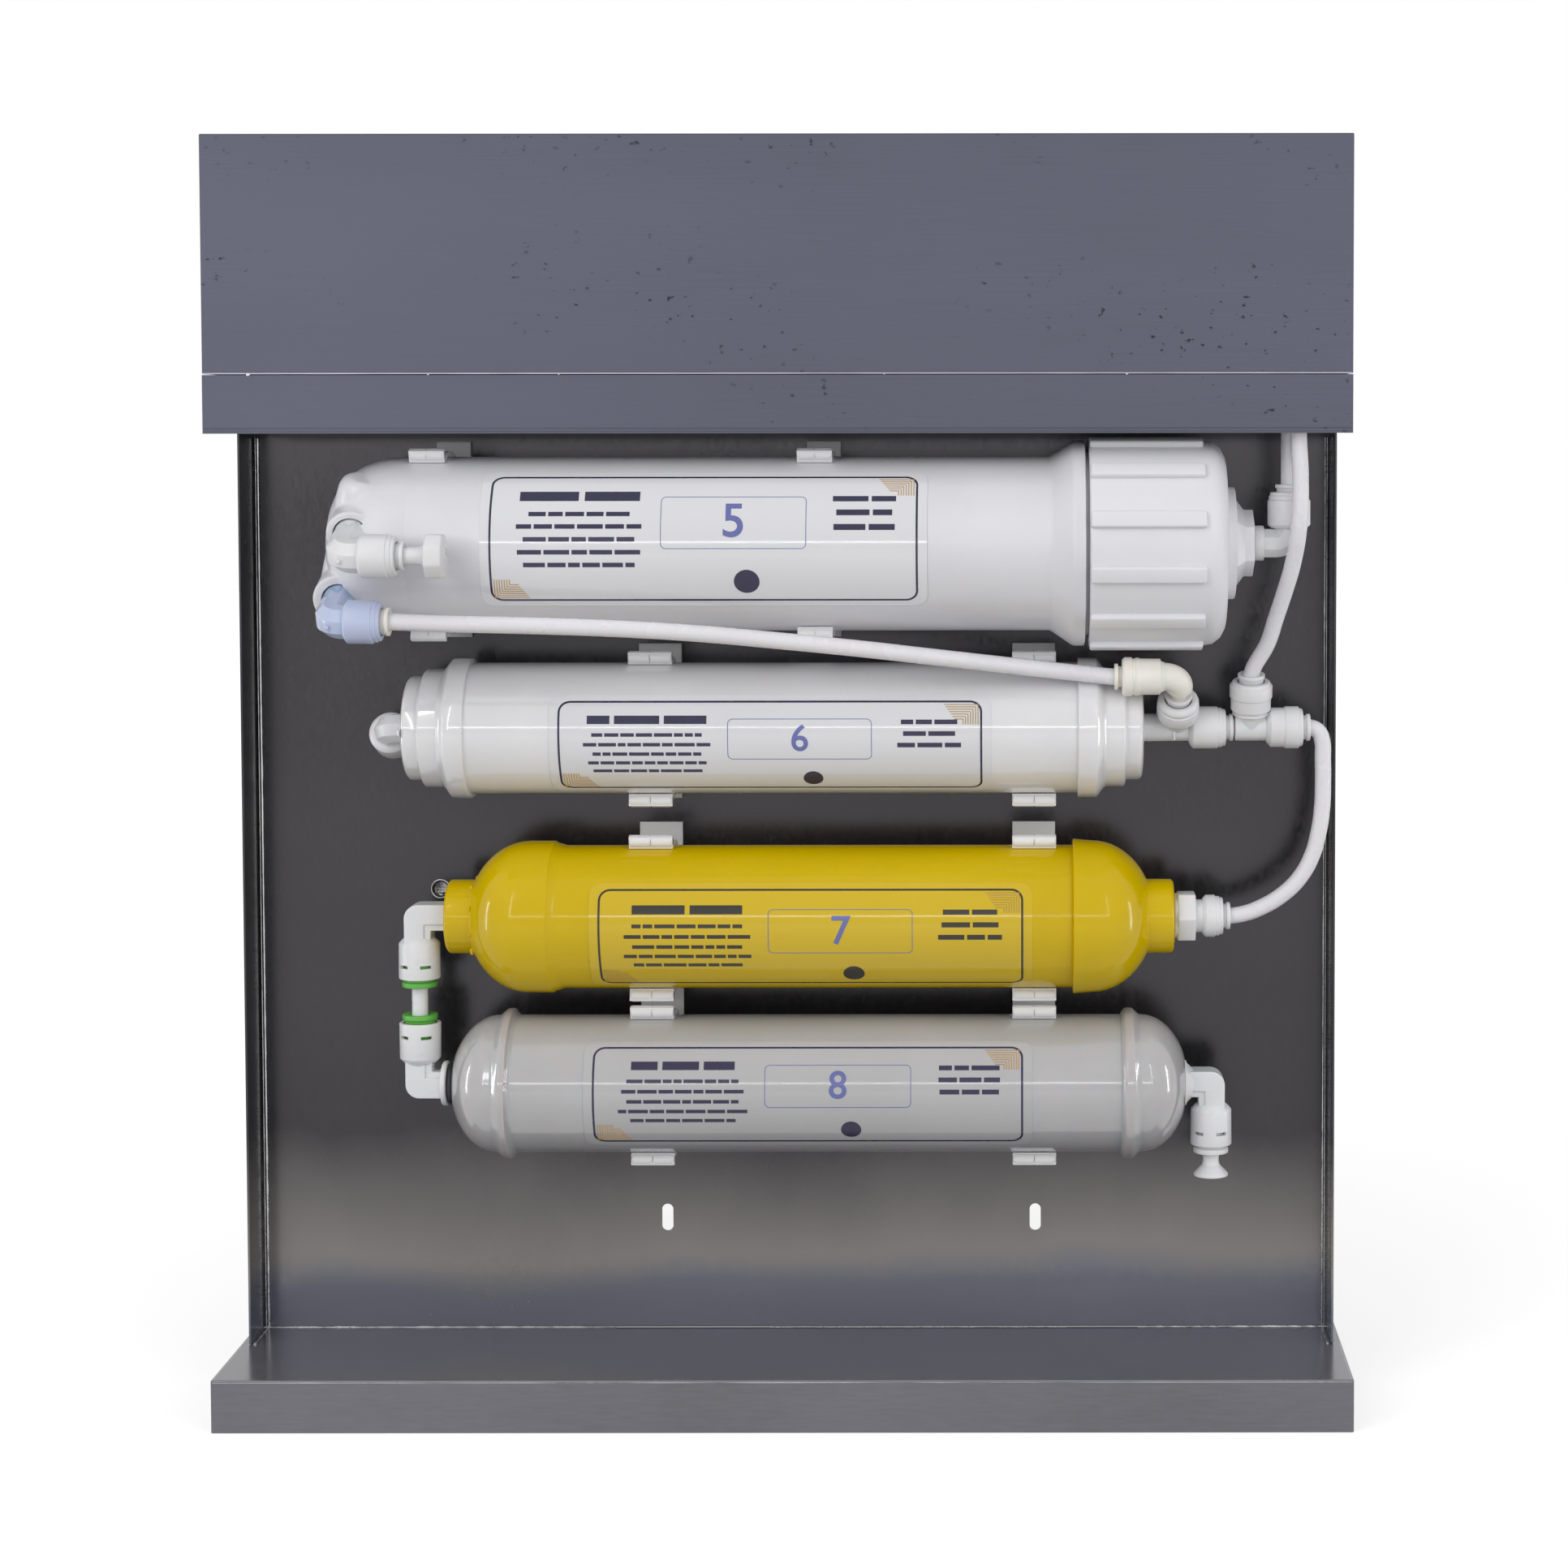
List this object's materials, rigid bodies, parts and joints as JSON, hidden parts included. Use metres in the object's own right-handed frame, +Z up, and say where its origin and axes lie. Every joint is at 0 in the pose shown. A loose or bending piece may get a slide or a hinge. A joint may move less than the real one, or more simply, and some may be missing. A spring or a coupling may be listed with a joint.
{
  "type": "water purifier",
  "caption": "Under-sink reverse-osmosis water purifier: a steel chassis with a lift-off hood, a membrane housing, inline cartridges and push-fit tubing.",
  "frame": {"origin": "middle of the footprint on the floor, under the base tray", "axes": "+Z up, +X to the right as seen from the open front, -Y out of the open front"},
  "size_m": [0.436, 0.1756, 0.493],
  "materials": {
    "steel": "brushed stainless sheet",
    "white": "glossy white moulding",
    "fitting": "semi-gloss white moulding",
    "cream": "semi-gloss cream moulding",
    "blue": "light blue translucent moulding",
    "green": "semi-gloss green moulding",
    "yellow": "high-gloss yellow moulding",
    "milky": "translucent milky moulding",
    "tube": "smooth white tube",
    "rubber": "matte black",
    "carbon": "packed black granules",
    "ceramic": "packed ceramic balls",
    "film": "wound film",
    "motor": "black enamel",
    "head": "dark moulded plastic"
  },
  "bodies": {
    "chassis": {"back_panel": "steel", "base_tray": "steel", "upper_tray": "steel", "membrane_clip_left": "white", "membrane_clip_right": "white", "carbon_clip_left": "white", "carbon_clip_right": "white", "mineral_clip_left": "white", "mineral_clip_right": "white", "oxygen_clip_left": "white", "oxygen_clip_right": "white", "membrane_housing": "white", "membrane_cap_seal": "rubber", "membrane_element": "film", "post_carbon_shell": "white", "post_carbon_end_cap": "white", "post_carbon_block": "carbon", "mineral_shell": "yellow", "mineral_end_cap": "yellow", "mineral_ball_bed": "ceramic", "oxygen_shell": "milky", "oxygen_end_cap": "milky", "oxygen_ball_bed": "ceramic", "brine_elbow": "fitting", "permeate_elbow": "blue", "stem_elbow": "cream", "post_carbon_tee": "fitting", "tank_tee": "fitting", "mineral_connector": "fitting", "mineral_elbow": "fitting", "oxygen_inlet_elbow": "fitting", "oxygen_outlet_elbow": "fitting", "post_carbon_elbow": "fitting", "cap_elbow": "fitting", "oxygen_inlet_seal": "rubber", "permeate_tube": "tube", "tank_tube": "tube", "cartridge_loop_tube": "tube", "oxygen_feed_tube": "tube", "feed_tube": "tube", "pump_motor": "motor", "pump_head": "head", "tank_union": "fitting"},
    "brine_collet": {"brine_collet": "fitting"},
    "permeate_collet": {"permeate_collet": "cream"},
    "stem_elbow_collet": {"stem_elbow_collet": "cream"},
    "post_carbon_tee_upper_collet": {"post_carbon_tee_upper_collet": "fitting"},
    "post_carbon_tee_collet": {"post_carbon_tee_collet": "fitting"},
    "tank_tee_upper_collet": {"tank_tee_upper_collet": "fitting"},
    "tank_tee_collet": {"tank_tee_collet": "fitting"},
    "mineral_connector_collet": {"mineral_connector_collet": "fitting"},
    "mineral_elbow_collet": {"mineral_elbow_collet": "green"},
    "oxygen_inlet_collet": {"oxygen_inlet_collet": "green"},
    "oxygen_outlet_collet": {"oxygen_outlet_collet": "fitting"},
    "post_carbon_elbow_collet": {"post_carbon_elbow_collet": "fitting"},
    "cap_elbow_collet": {"cap_elbow_collet": "fitting"},
    "hood_cover": {"hood_cover": "steel"},
    "membrane_cap": {"membrane_cap": "white"},
    "brine_plug": {"brine_plug": "fitting"},
    "oxygen_plug": {"oxygen_plug": "fitting"}
  },
  "joints": [
    {"name": "hood_lift", "type": "slide", "parent": "chassis", "child": "hood_cover", "axis": [0, 0, 1], "range_m": [0, 0.11]},
    {"name": "membrane_cap_turn", "type": "hinge", "parent": "chassis", "child": "membrane_cap", "pos_m": [0.14, -0.03317, 0.3387], "axis": [1, 0, 0], "range_deg": [0, 90]},
    {"name": "brine_plug_pull", "type": "slide", "parent": "chassis", "child": "brine_plug", "axis": [1, 0, 0], "range_m": [0, 0.022]},
    {"name": "oxygen_plug_pull", "type": "slide", "parent": "chassis", "child": "oxygen_plug", "axis": [0, 0, -1], "range_m": [0, 0.022]},
    {"name": "brine_collet_press", "type": "slide", "parent": "chassis", "child": "brine_collet", "axis": [-1, 0, 0], "range_m": [0, 0.0012], "stiffness_N_per_m": 50, "springref_m": -0.001},
    {"name": "permeate_collet_press", "type": "slide", "parent": "chassis", "child": "permeate_collet", "axis": [-1, 0, 0], "range_m": [0, 0.0012], "stiffness_N_per_m": 50, "springref_m": -0.001},
    {"name": "stem_elbow_collet_press", "type": "slide", "parent": "chassis", "child": "stem_elbow_collet", "axis": [1, 0, 0], "range_m": [0, 0.0012], "stiffness_N_per_m": 50, "springref_m": -0.001},
    {"name": "post_carbon_tee_upper_collet_press", "type": "slide", "parent": "chassis", "child": "post_carbon_tee_upper_collet", "axis": [0, 0.7071, -0.7071], "range_m": [0, 0.0012], "stiffness_N_per_m": 50, "springref_m": -0.001},
    {"name": "post_carbon_tee_collet_press", "type": "slide", "parent": "chassis", "child": "post_carbon_tee_collet", "axis": [-1, 0, 0], "range_m": [0, 0.0012], "stiffness_N_per_m": 50, "springref_m": -0.001},
    {"name": "tank_tee_upper_collet_press", "type": "slide", "parent": "chassis", "child": "tank_tee_upper_collet", "axis": [0, 0.2419, -0.9703], "range_m": [0, 0.0012], "stiffness_N_per_m": 50, "springref_m": -0.001},
    {"name": "tank_tee_collet_press", "type": "slide", "parent": "chassis", "child": "tank_tee_collet", "axis": [-1, 0, 0], "range_m": [0, 0.0012], "stiffness_N_per_m": 50, "springref_m": -0.001},
    {"name": "mineral_connector_collet_press", "type": "slide", "parent": "chassis", "child": "mineral_connector_collet", "axis": [-1, 0, 0], "range_m": [0, 0.0012], "stiffness_N_per_m": 50, "springref_m": -0.001},
    {"name": "mineral_elbow_collet_press", "type": "slide", "parent": "chassis", "child": "mineral_elbow_collet", "axis": [0, 0, 1], "range_m": [0, 0.0012], "stiffness_N_per_m": 50, "springref_m": -0.001},
    {"name": "oxygen_inlet_collet_press", "type": "slide", "parent": "chassis", "child": "oxygen_inlet_collet", "axis": [0, 0, -1], "range_m": [0, 0.0012], "stiffness_N_per_m": 50, "springref_m": -0.001},
    {"name": "oxygen_outlet_collet_press", "type": "slide", "parent": "chassis", "child": "oxygen_outlet_collet", "axis": [0, 0, 1], "range_m": [0, 0.0012], "stiffness_N_per_m": 50, "springref_m": -0.001},
    {"name": "post_carbon_elbow_collet_press", "type": "slide", "parent": "chassis", "child": "post_carbon_elbow_collet", "axis": [0, -0.9397, 0.342], "range_m": [0, 0.0012], "stiffness_N_per_m": 50, "springref_m": -0.001},
    {"name": "cap_elbow_collet_press", "type": "slide", "parent": "chassis", "child": "cap_elbow_collet", "axis": [0, 0, -1], "range_m": [0, 0.0012], "stiffness_N_per_m": 50, "springref_m": -0.001}
  ]
}
